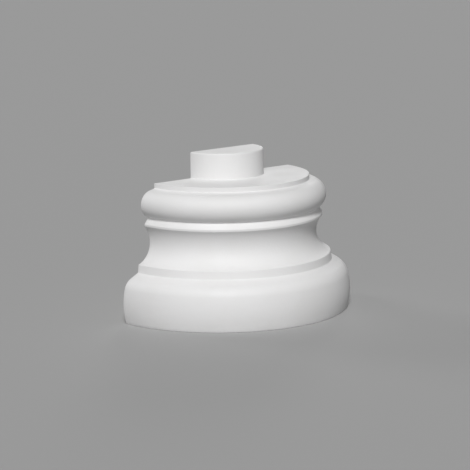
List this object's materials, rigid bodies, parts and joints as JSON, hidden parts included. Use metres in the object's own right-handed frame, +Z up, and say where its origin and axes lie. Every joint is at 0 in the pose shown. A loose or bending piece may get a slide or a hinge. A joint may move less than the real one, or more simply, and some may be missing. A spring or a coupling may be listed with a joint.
{
  "type": "half-column base",
  "caption": "Half-round moulded base for a wall half column: lower roll, hollow, lip, upper roll, flat shaft seat and half-round spigot.",
  "frame": {"origin": "on the column's axis, where the wall plane meets the floor", "axes": "+Z up the column, +Y into the wall, X along the wall; the moulding swells towards -Y"},
  "size_m": [0.3066, 0.1533, 0.1936],
  "materials": {
    "primed_foam": "rigid polyurethane foam with a smooth moulded skin, factory primed matt white"
  },
  "bodies": {
    "root": {"half_column_base": "primed_foam"}
  },
  "joints": []
}
